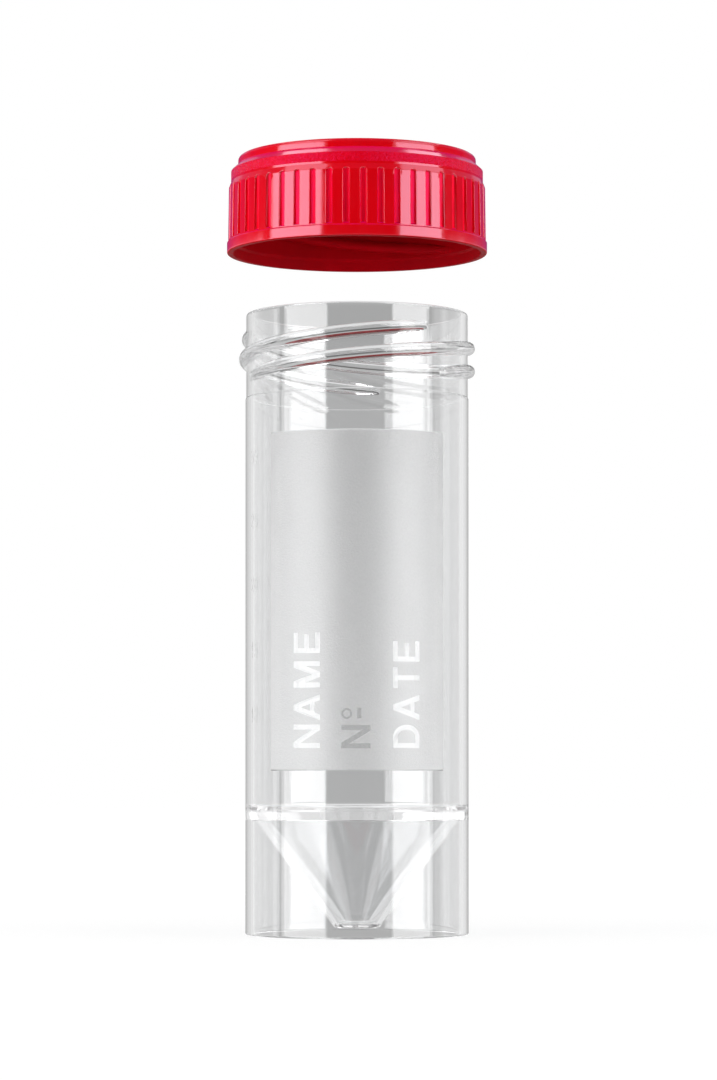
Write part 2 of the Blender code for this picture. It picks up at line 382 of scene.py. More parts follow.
# %% Captions
STEM = 0.17
LEG = 0.19
MID = STEM / 2
E_ARMS = ((0.7, 0), (0.64, 0.41), (0.7, 1 - STEM))
M_ARM = ((-0.45, 1), (-0.24, 1), (0.09, 0), (-0.09, 0))
D_CURVE = arc(0.38, 0.5, 0.33, 0.5 - MID, -80, 80)
D_BOWL = [(MID, MID), (0.38, MID), *D_CURVE, (0.38, 1 - MID), (MID, 1 - MID)]
CAPTION_GLYPHS = {
    "N": [bar(0, 0, STEM, 1), bar(0.8 - STEM, 0, 0.8, 1), leg(0.8 - LEG / 2, LEG / 2, LEG)],
    "A": [leg(0.08, 0.42, LEG), leg(0.76, 0.42, LEG), bar(0.2, 0.2, 0.64, 0.2 + 0.9 * STEM)],
    "M": [
        bar(0, 0, STEM, 1),
        bar(0.9 - STEM, 0, 0.9, 1),
        *([Vector((x * s + 0.45, y)) for x, y in M_ARM] for s in (1, -1)),
    ],
    "E": [bar(0, 0, STEM, 1), *(bar(0, y, x, y + STEM) for x, y in E_ARMS)],
    "D": pen(D_BOWL, STEM) + [bar(0, 0, STEM, 1)],
    "T": [bar(0, 1 - STEM, 0.72, 1), bar(0.36 - MID, 0, 0.36 + MID, 1)],
}
print(len(CAPTION_GLYPHS), "capitals")

# %% [markdown]
# Three captions show where the name, the number and the date are written. They read from the foot of the
# tube upwards, so a glyph's width runs along +Z and its height runs round the tube, towards smaller angles.

# %% Place the captions on the panel
WORD_HEIGHT, NUMBER_HEIGHT = 0.00382, 0.0038
RING_AT = (math.radians(-5.1) * TUBE_RADIUS, 0.02943)
RING_SIZE, RING_WEIGHT = 0.00058, 0.00028
DASH_FROM, DASH_TO = math.radians(0.1), math.radians(2.2)
DASH_LOW, DASH_HIGH = 0.0288, 0.03015


def caption(letters, lows, base_degrees, height):
    """A word laid on the unrolled tube, as polygons of (distance round, height).

    lows are the heights of the letters' lower edges in millimetres.
    """
    base = math.radians(base_degrees) * TUBE_RADIUS
    shapes = []
    for letter, low in zip(letters, lows):
        for piece in CAPTION_GLYPHS[letter]:
            shapes.append([(base - p.y * height, low / 1000 + p.x * height) for p in piece])
    return shapes


captions = caption("NAME", (24.95, 28.65, 32.85, 37.35), -18.7, WORD_HEIGHT)
captions += caption("DATE", (24.95, 28.65, 32.75, 36.25), 32.8, WORD_HEIGHT)
captions += caption("N", (24.9,), 6.7, NUMBER_HEIGHT)
captions += pen(arc(*RING_AT, RING_SIZE, RING_SIZE, 0, 343, 20), RING_WEIGHT, closed=True)
captions += [bar(DASH_FROM * TUBE_RADIUS, DASH_LOW, DASH_TO * TUBE_RADIUS, DASH_HIGH)]
print(len(captions), "pieces of caption")

# %% [markdown]
# On the left the tube carries moulded volume marks, 5 ml apart, as plain numerals that stand a little
# proud.

# %% Volume marks
NUMERAL_HEIGHT = 0.0020
NUMERAL_WEIGHT = 0.13
MARKS = {"30": 0.06375, "25": 0.0551, "20": 0.0467, "15": 0.0380, "10": 0.0294}
FIVE_TOP = [(0.42, 0.94), (0.07, 0.94), (0.05, 0.55)]
DIGIT_PATHS = {
    "1": [[(0.08, 0.75), (0.26, 0.93), (0.26, 0.0)]],
    "2": [[*arc(0.22, 0.72, 0.2, 0.22, 170, -30, 8), (0.02, 0.07), (0.45, 0.07)]],
    "3": [arc(0.2, 0.72, 0.19, 0.21, 160, -90, 8), arc(0.2, 0.29, 0.22, 0.23, 95, -160, 8)],
    "5": [[*FIVE_TOP, *arc(0.2, 0.33, 0.22, 0.27, 100, -150, 8)]],
}
DIGITS = {digit: sum((pen(p, NUMERAL_WEIGHT) for p in paths), []) for digit, paths in DIGIT_PATHS.items()}
DIGITS["0"] = pen(arc(0.22, 0.5, 0.2, 0.43, 0, 342, 18), NUMERAL_WEIGHT, closed=True)
NUMERAL_ANGLE = math.radians(-70)
DIGIT_STEP = 0.62


def numeral(text, middle):
    """Upright digits side by side, as polygons of (distance round, height)."""
    size = NUMERAL_HEIGHT
    low = middle - size / 2
    shapes = []
    for i, digit in enumerate(text):
        left = NUMERAL_ANGLE * TUBE_RADIUS + i * DIGIT_STEP * size
        shapes += [[(left + p.x * size, low + p.y * size) for p in piece] for piece in DIGITS[digit]]
    return shapes


numerals = [shape for text, z in MARKS.items() for shape in numeral(text, z)]
print(len(MARKS), "volume marks")

# %% [markdown]
# A lettered sheet is a patch of the tube's wall that has to follow letter outlines. It is laid out flat,
# cut by constrained triangulation, and rolled back on the cylinder. Long outline edges are divided first,
# or they would cut through the round wall as straight chords.

# %% Lettered sheets
OUTLINE_STEP = 0.0002


def divided(polygon):
    """The polygon, wound anticlockwise, with its edges cut into short lengths."""
    area = sum(x0 * y1 - x1 * y0 for (x0, y0), (x1, y1) in zip(polygon, polygon[1:] + polygon[:1]))
    if area < 0:
        polygon = polygon[::-1]
    dense = []
    for (x0, y0), (x1, y1) in zip(polygon, polygon[1:] + polygon[:1]):
        parts = max(1, math.ceil(math.hypot(x1 - x0, y1 - y0) / OUTLINE_STEP))
        dense += [(x0 + (x1 - x0) * i / parts, y0 + (y1 - y0) * i / parts) for i in range(parts)]
    return dense


def sheet(skin, angles, heights, shapes, field, window, proud=0.0, raised=False):
    """Fill the window that the grid left open between these angles and heights.

    A sheet that stands proud has an edge that slopes at 45 degrees. field is the material beside the shapes,
    and window the one inside them.
    """
    middle_a, half_a = (angles[0] + angles[-1]) / 2, (angles[-1] - angles[0]) / 2
    middle_z, half_z = (heights[0] + heights[-1]) / 2, (heights[-1] - heights[0]) / 2
    shrink_a, shrink_z = 1 - proud / TUBE_RADIUS / half_a, 1 - proud / half_z
    flat_a = [middle_a + (a - middle_a) * shrink_a for a in angles]
    flat_z = [middle_z + (z - middle_z) * shrink_z for z in heights]
    wide, tall = len(angles), len(heights)
    around = [(i, 0) for i in range(wide - 1)] + [(wide - 1, j) for j in range(tall - 1)]
    around += [(i, tall - 1) for i in range(wide - 1, 0, -1)] + [(0, j) for j in range(tall - 1, 0, -1)]
    points = [Vector((a * TUBE_RADIUS, z)) for a in flat_a for z in flat_z]
    faces = [[i * tall + j for i, j in around]]
    for shape in shapes:
        dense = divided([tuple(p) for p in shape])
        faces.append(list(range(len(points), len(points) + len(dense))))
        points += [Vector(p) for p in dense]
    cut = delaunay_2d_cdt(points, [], faces, 1, 1e-8, True)
    radius = TUBE_RADIUS + proud
    first = skin.add_points([tuple(on_circle(p.x / TUBE_RADIUS, radius, p.y)) for p in cut[0]])
    for k, p in enumerate(cut[0]):
        skin.exact[first + k] = on_circle(p.x / TUBE_RADIUS, 1.0)
    for face, sources in zip(cut[2], cut[5]):
        lettered = any(s > 0 for s in sources)
        if raised and lettered:
            skin.raised.append(len(skin.faces))
        skin.add_face([first + k for k in face], window if lettered else field)
    if proud:
        rim = skin.add_points([tuple(on_circle(angles[i], TUBE_RADIUS, heights[j])) for i, j in around])
        crest = skin.add_points([tuple(on_circle(flat_a[i], radius, flat_z[j])) for i, j in around])
        for k in range(len(around)):
            nxt = (k + 1) % len(around)
            skin.add_face((rim + k, rim + nxt, crest + nxt, crest + k), window)
    return len(cut[2])


print("sheets ready")

# %% [markdown]
# A finish is a small tree of nodes. No picture is used: what varies in a finish comes from noise in the
# object's own coordinates, so it stays on the piece when the piece moves. These helpers save writing the
# same few nodes again and again.

# %% Node helpers
def new_material(name):
    """An empty material with its node tree and the input of its surface."""
    material = bpy.data.materials.new(name)
    material.use_nodes = True
    tree = material.node_tree
    tree.nodes.clear()
    return material, tree, tree.nodes.new("ShaderNodeOutputMaterial").inputs["Surface"]


def add(tree, kind, inputs=None, **settings):
    """A node with its settings. Each input gets a value of its own, or the output that feeds it."""
    node = tree.nodes.new("ShaderNode" + kind)
    for setting, value in settings.items():
        setattr(node, setting, value)
    for socket, value in (inputs or {}).items():
        if isinstance(value, bpy.types.NodeSocket):
            tree.links.new(value, node.inputs[socket])
        else:
            node.inputs[socket].default_value = value
    return node


def noise(tree, scale, stretch=(1, 1, 1), detail=3.0):
    """A noise in the object's own coordinates, squeezed or drawn out by stretch."""
    place = add(tree, "TexCoord").outputs["Object"]
    place = add(tree, "Mapping", {"Vector": place, "Scale": stretch}).outputs["Vector"]
    return add(tree, "TexNoise", {"Vector": place, "Scale": scale, "Detail": detail}).outputs["Fac"]


def spread(tree, value, low, high, start=0.3, end=0.7):
    """Stretch a value's usual range to run from low to high."""
    ends = {"From Min": start, "From Max": end, "To Min": low, "To Max": high}
    return add(tree, "MapRange", {"Value": value, **ends}).outputs["Result"]


def mixed(tree, share, first, second):
    """Two shaders mixed by a share."""
    return add(tree, "MixShader", {"Fac": share, 1: first, 2: second}).outputs["Shader"]


print("node helpers ready")

# %% [markdown]
# Polystyrene is clear and hard, with a refractive index of 1.59, so its edges glint more than glass does.
# The moulded wall is never quite even: a faint bump, drawn out along the tube, gives the soft streaks seen
# in it. The writing panel is the same plastic off a frosted mould face, so it is rough and a little darker.
# Lamps shine through clear plastic, so rays on their way to a lamp pass through a slightly grey transparent
# shader, and the tube throws only a faint shadow.

# %% Clear and frosted polystyrene
POLYSTYRENE_IOR = 1.59
SHADOW_TINT = (0.94, 0.95, 0.96, 1.0)


def tinted(tree, share, dark, light):
    """A colour that wanders between two tints as the share does."""
    inputs = {"Factor": share, "A": (*dark, 1.0), "B": (*light, 1.0)}
    return add(tree, "Mix", inputs, data_type="RGBA").outputs["Result"]


def bumped(tree, *bumps):
    """Bumps one on top of another. Each is a height with its strength and distance."""
    normal = {}
    for height, strength, distance in bumps:
        inputs = {"Height": height, "Strength": strength, "Distance": distance, **normal}
        normal = {"Normal": add(tree, "Bump", inputs).outputs["Normal"]}
    return normal["Normal"]


def moulded(tree, tints, tint_scale, gloss, roughness, grain):
    """What noise gives to a moulded plastic: its tint, its roughness and its bumps."""
    return {
        "Base Color": tinted(tree, spread(tree, noise(tree, tint_scale), 0.0, 1.0), *tints),
        "Roughness": spread(tree, gloss, *roughness),
        "Normal": bumped(tree, *((noise(tree, *field), *size) for field, size in grain)),
    }


def polystyrene(name, tints, tint_scale, clearness, roughness, *grain):
    """Clear plastic. Each grain is a noise with its stretch, and a bump's strength and distance."""
    material, tree, surface = new_material(name)
    inputs = moulded(tree, tints, tint_scale, noise(tree, 260.0, detail=4.0), roughness, grain)
    inputs.update({"IOR": POLYSTYRENE_IOR, "Transmission Weight": clearness})
    shader = add(tree, "BsdfPrincipled", inputs).outputs["BSDF"]
    passing = add(tree, "BsdfTransparent", {"Color": SHADOW_TINT}).outputs["BSDF"]
    shadow = add(tree, "LightPath").outputs["Is Shadow Ray"]
    tree.links.new(mixed(tree, shadow, shader, passing), surface)
    return material


STREAKS = ((300.0, (1.0, 1.0, 0.04)), (0.25, 0.00001))
RIPPLES = ((90.0, (1.0, 1.0, 0.35)), (0.25, 0.00002))
FROST = ((5200.0,), (0.6, 0.0001))
CLEAR_TINTS = ((0.990, 0.993, 0.996), (0.994, 0.997, 1.0))
FROSTED_TINTS = ((0.91, 0.915, 0.92), (1.0, 1.0, 1.0))
clear = polystyrene("clear_polystyrene", CLEAR_TINTS, 40.0, 1.0, (0.0, 0.02), RIPPLES, STREAKS)
frosted = polystyrene("frosted_polystyrene", FROSTED_TINTS, 4200.0, 0.86, (0.42, 0.5), FROST)
print("clear index", POLYSTYRENE_IOR)

# %% [markdown]
# Light that enters a clear corner is thrown to and fro between its faces before it finds a way out, as
# where the cone meets the wall. A renderer gives up after a few bounces and leaves such places black, so it
# gets more here.

# %% Bounces of light
MOST_BOUNCES = 128
cycles = bpy.context.scene.cycles
cycles.max_bounces = MOST_BOUNCES
cycles.transmission_bounces = MOST_BOUNCES
cycles.glossy_bounces = MOST_BOUNCES
print("up to", MOST_BOUNCES, "bounces")

# %% [markdown]
# The tube's skin is turned in 480 columns. The thread is the hard part. Rows that ran level would cross its
# ridges at a slant and leave steps along every crest, so in the neck each row climbs with the thread
# instead, and after a full turn the last column meets the first one three pitches up. Rows that would leave
# the neck are held at its ends, where they merge away.

# %% Columns and rows of the tube
TUBE_COLUMNS = 480
SHEET_ROWS = 32
MARKS_FROM, MARKS_TO = math.radians(-72), math.radians(-60)

tube_angles = [-math.pi + math.tau * i / TUBE_COLUMNS for i in range(TUBE_COLUMNS)]
for edge in (-PANEL_HALF_ANGLE, PANEL_HALF_ANGLE):
    nearest = min(range(TUBE_COLUMNS), key=lambda i: abs(tube_angles[i] - edge))
    tube_angles[nearest] = edge
sheet_heights = [PANEL_LOW + (PANEL_HIGH - PANEL_LOW) * j / (SHEET_ROWS - 1) for j in range(SHEET_ROWS)]


def columns_between(low, high):
    """Indices of the tube's columns from one angle to another."""
    return [i for i, a in enumerate(tube_angles) if low - 1e-6 < a < high + 1e-6]


panel_columns = columns_between(-PANEL_HALF_ANGLE, PANEL_HALF_ANGLE)
mark_columns = columns_between(MARKS_FROM, MARKS_TO)
print("panel spans", len(panel_columns), "columns, the marks", len(mark_columns))

# %% [markdown]
# A thread could be a profile swept along a helix and joined to the neck, but a join leaves a seam that
# clear plastic shows. Here it is a height over the round wall. Its section is half an ellipse, and its ends
# fade away, as they do on a moulding that has to leave its tool. The same two functions make the cap's
# thread.

# %% Thread ridges as a height over a round wall
RIDGE_FULLNESS = 0.5
NARROWEST = 0.45
RIDGE_MARGIN = 1.03
RIDGE_STEPS = 12


def ridge_height(angle, height, ridge):
    """How far the ridges stand off the wall here. Their ends fade in height and in width."""
    best = 0.0
    for start in range(THREAD_STARTS):
        along = (angle - ridge["foot_angle"] - start * math.tau / THREAD_STARTS) % math.tau
        if along >= ridge["span"]:
            continue
        line = ridge["foot_z"] + THREAD_LEAD * along / math.tau
        fade = math.sin(math.pi / 2 * min(1.0, min(along, ridge["span"] - along) / ridge["fade"]))
        half = ridge["half_base"] * (NARROWEST + (1 - NARROWEST) * fade)
        across = min(1.0, abs(height - line) / half)
        best = max(best, ridge["depth"] * fade * (1 - across * across) ** RIDGE_FULLNESS)
    return best


def thread_columns(angles, wall, low, high, ridge, outward):
    """Columns of (radius, height) whose rows climb as the ridges do, and how many rows that is a turn."""
    half = ridge["half_base"] * RIDGE_MARGIN
    across = [half * math.sin(math.pi / (2 * RIDGE_STEPS) * k) for k in range(-RIDGE_STEPS, RIDGE_STEPS + 1)]
    rest = THREAD_PITCH / 2
    across += [half + (rest - half) * k / 3 for k in (1, 2, 3)]
    across += [-half - (rest - half) * k / 3 for k in (1, 2)]
    first_line = ridge["foot_z"] + THREAD_LEAD * (angles[0] - ridge["foot_angle"]) / math.tau
    lowest = math.floor((low - THREAD_LEAD - first_line) / THREAD_PITCH) - 1
    highest = math.ceil((high - first_line) / THREAD_PITCH) + 1
    starts = sorted(first_line + k * THREAD_PITCH + t for k in range(lowest, highest + 1) for t in across)
    columns = []
    for angle in angles:
        climb = THREAD_LEAD * (angle - angles[0]) / math.tau
        column = []
        for z in (min(high, max(low, start + climb)) for start in starts):
            column.append((wall + outward * ridge_height(angle, z, ridge), z))
        columns.append(column)
    return columns, THREAD_STARTS * len(across)


print("ridges fade over", round(math.degrees(NECK_RIDGE["fade"])), "degrees")

# %% [markdown]
# The half outline runs from the cone's tip up its underside, down inside the skirt, round the foot and up
# to the neck, and then from the rim down the bore to the cone's floor. The cone hangs free inside the
# skirt, so the tube stands on a thin ring. Its wall keeps one thickness, and that fixes where the floor of
# the cone lies.

# %% Outline of the tube
slope = CONE_RISE / (BORE_RADIUS - CONE_TIP_RADIUS)
lift = CONE_WALL * math.hypot(1.0, slope)
cone_floor = CONE_TIP_LIFT + CONE_WALL
floor_radius = CONE_TIP_RADIUS - (lift - CONE_WALL) / slope
cone_top = CONE_TIP_LIFT + CONE_RISE
rim_start = tube_top - RIM_ROUND

below_neck = rounded([
    (0.0, CONE_TIP_LIFT, 0),
    (CONE_TIP_RADIUS, CONE_TIP_LIFT, CONE_TIP_ROUND),
    (BORE_RADIUS, cone_top, CONE_UNDERSIDE_ROUND),
    (BORE_RADIUS, 0.0, FOOT_ROUND),
    (TUBE_RADIUS, 0.0, FOOT_ROUND),
    (TUBE_RADIUS, SHOULDER_Z - 2 * NECK_STEP, NECK_STEP),
    (NECK_RADIUS, SHOULDER_Z - NECK_STEP, NECK_STEP / 2),
    (NECK_RADIUS, SHOULDER_Z, 0),
])
outer_from = max(i for i, (r, z) in enumerate(below_neck) if z < PANEL_LOW)
below_neck = below_neck[:outer_from] + with_heights(below_neck[outer_from:], sheet_heights)
above_neck = rounded([
    (NECK_RADIUS, rim_start - RIM_ROUND, 0),
    (NECK_RADIUS, tube_top, RIM_ROUND),
    (BORE_RADIUS, tube_top, RIM_ROUND),
    (BORE_RADIUS, cone_top + lift, CONE_SHOULDER_ROUND),
    (floor_radius, cone_floor, CONE_TIP_ROUND),
    (0.0, cone_floor, 0),
])
print(len(below_neck), "rows below the neck,", len(above_neck), "from the rim to the cone's floor")

# %% [markdown]
# The skin is laid out from the outline and the thread. The grid leaves two windows open in the outer wall,
# one for the writing panel and one for the strip of volume marks, and a lettered sheet closes each of them.

# %% Build the tube
CLEAR_FACE, FROSTED_FACE = 0, 1
tube_skin = Skin()


def left_for_a_sheet(row, column):
    """Whether this face of the outer wall belongs to the writing panel or to the strip of volume marks."""
    r, z = below_neck[row]
    if abs(r - TUBE_RADIUS) > 1e-7 or not PANEL_LOW - 1e-6 < z < PANEL_HIGH - 1e-6:
        return False
    return panel_columns[0] <= column < panel_columns[-1] or mark_columns[0] <= column < mark_columns[-1]


tube_skin.grid(tube_angles, [below_neck] * TUBE_COLUMNS, skip=left_for_a_sheet)
neck_columns, rows_a_turn = thread_columns(
    tube_angles, NECK_RADIUS, SHOULDER_Z, rim_start - RIM_ROUND, NECK_RIDGE, 1
)
tube_skin.grid(tube_angles, neck_columns, shift=rows_a_turn)
tube_skin.grid(tube_angles, [above_neck] * TUBE_COLUMNS)
panel_angles = [tube_angles[i] for i in panel_columns]
mark_angles = [tube_angles[i] for i in mark_columns]
sheet(tube_skin, panel_angles, sheet_heights, captions, FROSTED_FACE, CLEAR_FACE, proud=PANEL_PROUD)
sheet(tube_skin, mark_angles, sheet_heights, numerals, CLEAR_FACE, CLEAR_FACE, raised=True)
tube = finished("clear_tube", tube_skin, [clear, frosted])
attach(tube, "container")
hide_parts("container")

# %% [markdown]
# The cap is moulded in red polyethylene. Its outside is a plain band, a skirt with 48 upright grooves, and
# two steps up to the top. The grooves could be cut with Booleans, but here the radius is a height field
# over a fine grid, with its columns gathered at the groove walls: every wall gets the same soft corners,
# and one closed mesh.

# %% Sizes of the cap
THREAD_CLEARANCE = 0.00038
NECK_CLEARANCE = 0.0004
CAP_WALL = 0.0011
CAP_ROOF = 0.0014
BAND_HEIGHT = 0.0014
BAND_PROUD = 0.00015
SKIRT_DRAFT = 0.0001
GROOVE_DEPTH = 0.0004
LEDGE_STEP = 0.00095
CAP_BORE = NECK_RADIUS + NECK_RIDGE["depth"] + THREAD_CLEARANCE
CAP_SEAT_BORE = NECK_RADIUS + NECK_CLEARANCE
SKIRT_RADIUS = CAP_BORE + CAP_WALL
BAND_RADIUS = SKIRT_RADIUS + BAND_PROUD
SKIRT_TOP_RADIUS = SKIRT_RADIUS - SKIRT_DRAFT
TIER_RADIUS = SKIRT_RADIUS - GROOVE_DEPTH
TOP_RADIUS = TIER_RADIUS - LEDGE_STEP
CAP_HEIGHT = cap_top - cap_mouth
ROOF_UNDERSIDE = CAP_HEIGHT - CAP_ROOF
SKIRT_TOP = 0.00875
TIER_FOOT = SKIRT_TOP + 0.00075
GRAIN_FOOT = 0.0098
LEDGE_FOOT, LEDGE_HEAD = 0.01102, 0.01185
GROOVE_COUNT = 48
GROOVE_HALF = 0.000475
GROOVE_WALL = 0.00022
GROOVE_FOOT, GROOVE_HEAD = 0.00165, 0.00904
GROOVE_FIRST = math.radians(2.8)
THREAD_ZONE = 0.0090
print("cap", round(CAP_HEIGHT * 1000, 2), "mm tall and", round(2 * BAND_RADIUS * 1000, 2), "mm across")

# %% Thread of the cap
CAP_RIDGE = {
    "depth": 0.0010,
    "half_base": 0.00075,
    "span": math.radians(170),
    "fade": math.radians(24),
    "foot_z": cap_mouth + 0.0022,
}
neck_line_top = tube_top - THREAD_TOP_DROP
climb_to_cap = CAP_RIDGE["foot_z"] - (neck_line_top + THREAD_PITCH / 2)
CAP_RIDGE["foot_angle"] = THREAD_TOP_ANGLE + climb_to_cap * math.tau / THREAD_LEAD
print("the cap's ridges start at", round(math.degrees(CAP_RIDGE["foot_angle"])), "degrees")

# %% Columns and rows of the cap
WALL_OFFSETS = (0.84, 0.95, 1.08, 1.2, 1.32, 1.45, 1.57, 2.7)
HALF_PITCH = 180.0 / GROOVE_COUNT
COARSE = 3
offsets = sorted([0.0, HALF_PITCH] + [s * d for d in WALL_OFFSETS for s in (1, -1)])
groove_angles = [GROOVE_FIRST + math.tau * k / GROOVE_COUNT for k in range(GROOVE_COUNT)]
cap_angles = [angle + math.radians(d) for angle in groove_angles for d in offsets]
inner_angles = cap_angles[::COARSE]
FLOORS_TO, HEADS_FROM = 0.0078, 0.0080
HEAD_STEP = 0.00006
groove_rows = [GROOVE_FOOT + GROOVE_WALL * k / 4 for k in range(-1, 5)]
groove_rows += [GROOVE_FOOT + (FLOORS_TO - GROOVE_FOOT) * k / 6 for k in range(1, 7)]
groove_rows += [HEADS_FROM + HEAD_STEP * k for k in range(20)]
groove_rows.append(GRAIN_FOOT)
TOP_FLAT_RADIUS = TOP_RADIUS - 0.0030
MOUTH_FLAT_RADIUS = BAND_RADIUS - 0.0005

outside = rounded(
    [
        (TOP_FLAT_RADIUS, CAP_HEIGHT, 0),
        (TOP_RADIUS, CAP_HEIGHT, 0.0005),
        (TOP_RADIUS, LEDGE_HEAD, 0.0001),
        (TIER_RADIUS, LEDGE_FOOT, 0.00012),
        (TIER_RADIUS, TIER_FOOT, 0.0002),
        (SKIRT_TOP_RADIUS, SKIRT_TOP, 0.0003),
        (SKIRT_RADIUS, BAND_HEIGHT + BAND_PROUD, 0.00004),
        (BAND_RADIUS, BAND_HEIGHT, 0.00006),
        (BAND_RADIUS, 0.0, 0.0002),
        (MOUTH_FLAT_RADIUS, 0.0, 0),
    ],
    steps=4,
)
outside = with_heights(outside, groove_rows)
print(len(cap_angles), "columns by", len(outside), "rows outside")

# %% [markdown]
# A groove has a flat floor, soft walls and a round head. Its depth at a point depends on how far the point
# lies inside the groove's outline, so one formula gives the walls and the head. The same formula says which
# faces are groove floors, and those get a finish of their own. That finish is a lighter red, painted light
# that stands in for the lamp light which the groove walls shade off the floors.

# %% Grooves as a depth over the skirt
MOUTH_EDGE = 0.00015
TOP_EDGE = 0.0001
FLOOR_SHARE = 0.8
GLOSSY, GRAINED, SATIN_INSIDE_PAINTED_SHADE, GROOVE_FLOOR_PAINTED_LIGHT, MATT_TOP = range(5)


def groove_share(angle, height):
    """1 on a groove's floor, 0 on the skirt, and in between on the soft walls."""
    pitch = math.tau / GROOVE_COUNT
    off = (angle - GROOVE_FIRST + pitch / 2) % pitch - pitch / 2
    x = abs(off) * SKIRT_RADIUS
    head = GROOVE_HEAD - GROOVE_HALF
    if height < head:
        outside_by = max(x - GROOVE_HALF, GROOVE_FOOT - height)
    else:
        outside_by = math.hypot(x, height - head) - GROOVE_HALF
    share = min(1.0, max(0.0, -outside_by / GROOVE_WALL))
    return share * share * (3 - 2 * share)


def cap_column(angle):
    """The outside of the cap at one angle, cut back to the groove floor where a groove runs."""
    column = []
    for r, z in outside:
        share = groove_share(angle, z) if GROOVE_FOOT < z < GROOVE_HEAD and r > TIER_RADIUS else 0.0
        column.append((r - share * max(0.0, r - TIER_RADIUS), cap_mouth + z))
    return column


def cap_finish(row, column):
    """The place of a face's finish in the list of finishes."""
    (r0, z0), (r1, z1) = outside[row], outside[row + 1]
    middle = (z0 + z1) / 2
    if middle < MOUTH_EDGE:
        return SATIN_INSIDE_PAINTED_SHADE
    if middle > CAP_HEIGHT - TOP_EDGE:
        return MATT_TOP
    if GRAIN_FOOT < middle < LEDGE_FOOT:
        return GRAINED
    angle = (cap_angles[column] + cap_angles[(column + 1) % len(cap_angles)]) / 2
    on_floor = z0 < GROOVE_HEAD and r0 > TIER_RADIUS and groove_share(angle, middle) > FLOOR_SHARE
    return GROOVE_FLOOR_PAINTED_LIGHT if on_floor else GLOSSY


print("groove", round(GROOVE_DEPTH * 1000, 2), "mm deep,", GROOVE_COUNT, "of them")

# %% [markdown]
# The red has five finishes, as its mould has: polished bands that mirror the soft boxes, a coarse spark
# grain on the upper step, a finer one on the groove floors, satin inside and matt on top. The groove floors'
# red is lighter, painted light for the lamp light that their walls shade off, and the inside's red is
# darker, painted shade for the shade inside the cap. Polyethylene turns pinkish where a white light mirrors
# in it, so the specular and sheen tints lean that way. Tints and levels are single values on the shader's
# own sockets.

# %% Red polyethylene
POLYETHYLENE_IOR = 1.53
SHEEN_ROUGHNESS = 0.4
RED = (0.66, 0.0, 0.0)
RED_DEEP = (0.62, 0.0, 0.0)
# Painted light: the groove floors' lighter reds stand in for the lamp light that the groove walls shade off.
RED_FLOOR_PAINTED_LIGHT = (0.76, 0.0, 0.0)
RED_LIT = (0.9, 0.0, 0.004)
# Painted shade: the inside's darker reds stand in for the shade inside the cap.
RED_SHADED = (0.44, 0.0, 0.004)
RED_SHADED_LIGHT = (0.5, 0.0, 0.005)
PINK = (1.0, 0.74, 0.98, 1.0)
ROSE = (1.0, 0.15, 0.98, 1.0)
CRIMSON = (1.0, 0.0, 0.85, 1.0)


def polyethylene(name, reds, roughness, level, shine, sheen, *grain):
    """Opaque moulded plastic with a slight variation of colour and gloss."""
    material, tree, surface = new_material(name)
    inputs = moulded(tree, reds, 180.0, noise(tree, 900.0), roughness, grain)
    inputs.update({
        "IOR": POLYETHYLENE_IOR,
        "Specular IOR Level": level,
        "Specular Tint": shine,
        "Sheen Weight": sheen,
        "Sheen Roughness": SHEEN_ROUGHNESS,
        "Sheen Tint": CRIMSON,
    })
    tree.links.new(add(tree, "BsdfPrincipled", inputs).outputs["BSDF"], surface)
    return material


SATIN = ((2600.0,), (0.12, 0.00001))
SINK = ((120.0,), (0.2, 0.00002))
SPARK = ((5200.0,), (0.5, 0.00003))
PITS = ((4400.0,), (0.9, 0.00014))
OUTSIDE, INSIDE_PAINTED_SHADE, FLOORS_PAINTED_LIGHT = (RED_DEEP, RED), (RED_SHADED, RED_SHADED_LIGHT), (RED_FLOOR_PAINTED_LIGHT, RED_LIT)
RED_FINISHES = [
    polyethylene("glossy_red", OUTSIDE, (0.09, 0.13), 1.0, PINK, 0.55, SINK, SATIN),
    polyethylene("grained_red", OUTSIDE, (0.24, 0.32), 0.3, ROSE, 0.5, PITS),
    # The inside's darker reds are painted shade, for the shade inside the cap.
    polyethylene("satin_red_painted_shade", INSIDE_PAINTED_SHADE, (0.45, 0.55), 0.04, PINK, 0.0, SATIN),
    # The groove floors' lighter reds are painted light, for the lamp light that their walls shade off.
    polyethylene("groove_red_painted_light", FLOORS_PAINTED_LIGHT, (0.3, 0.38), 0.4, ROSE, 0.3, SPARK),
    polyethylene("matt_red", OUTSIDE, (0.5, 0.6), 0.1, ROSE, 0.0, SPARK),
]
print(len(RED_FINISHES), "red finishes")

# %% [markdown]
# Inside, the cap has the partner of the neck's thread, a seat for the liner, and a roof. The inside needs
# fewer columns than the grooves do, so two flat rings, one on the top and one on the mouth, step from the
# fine columns to the coarse ones where nothing shows.

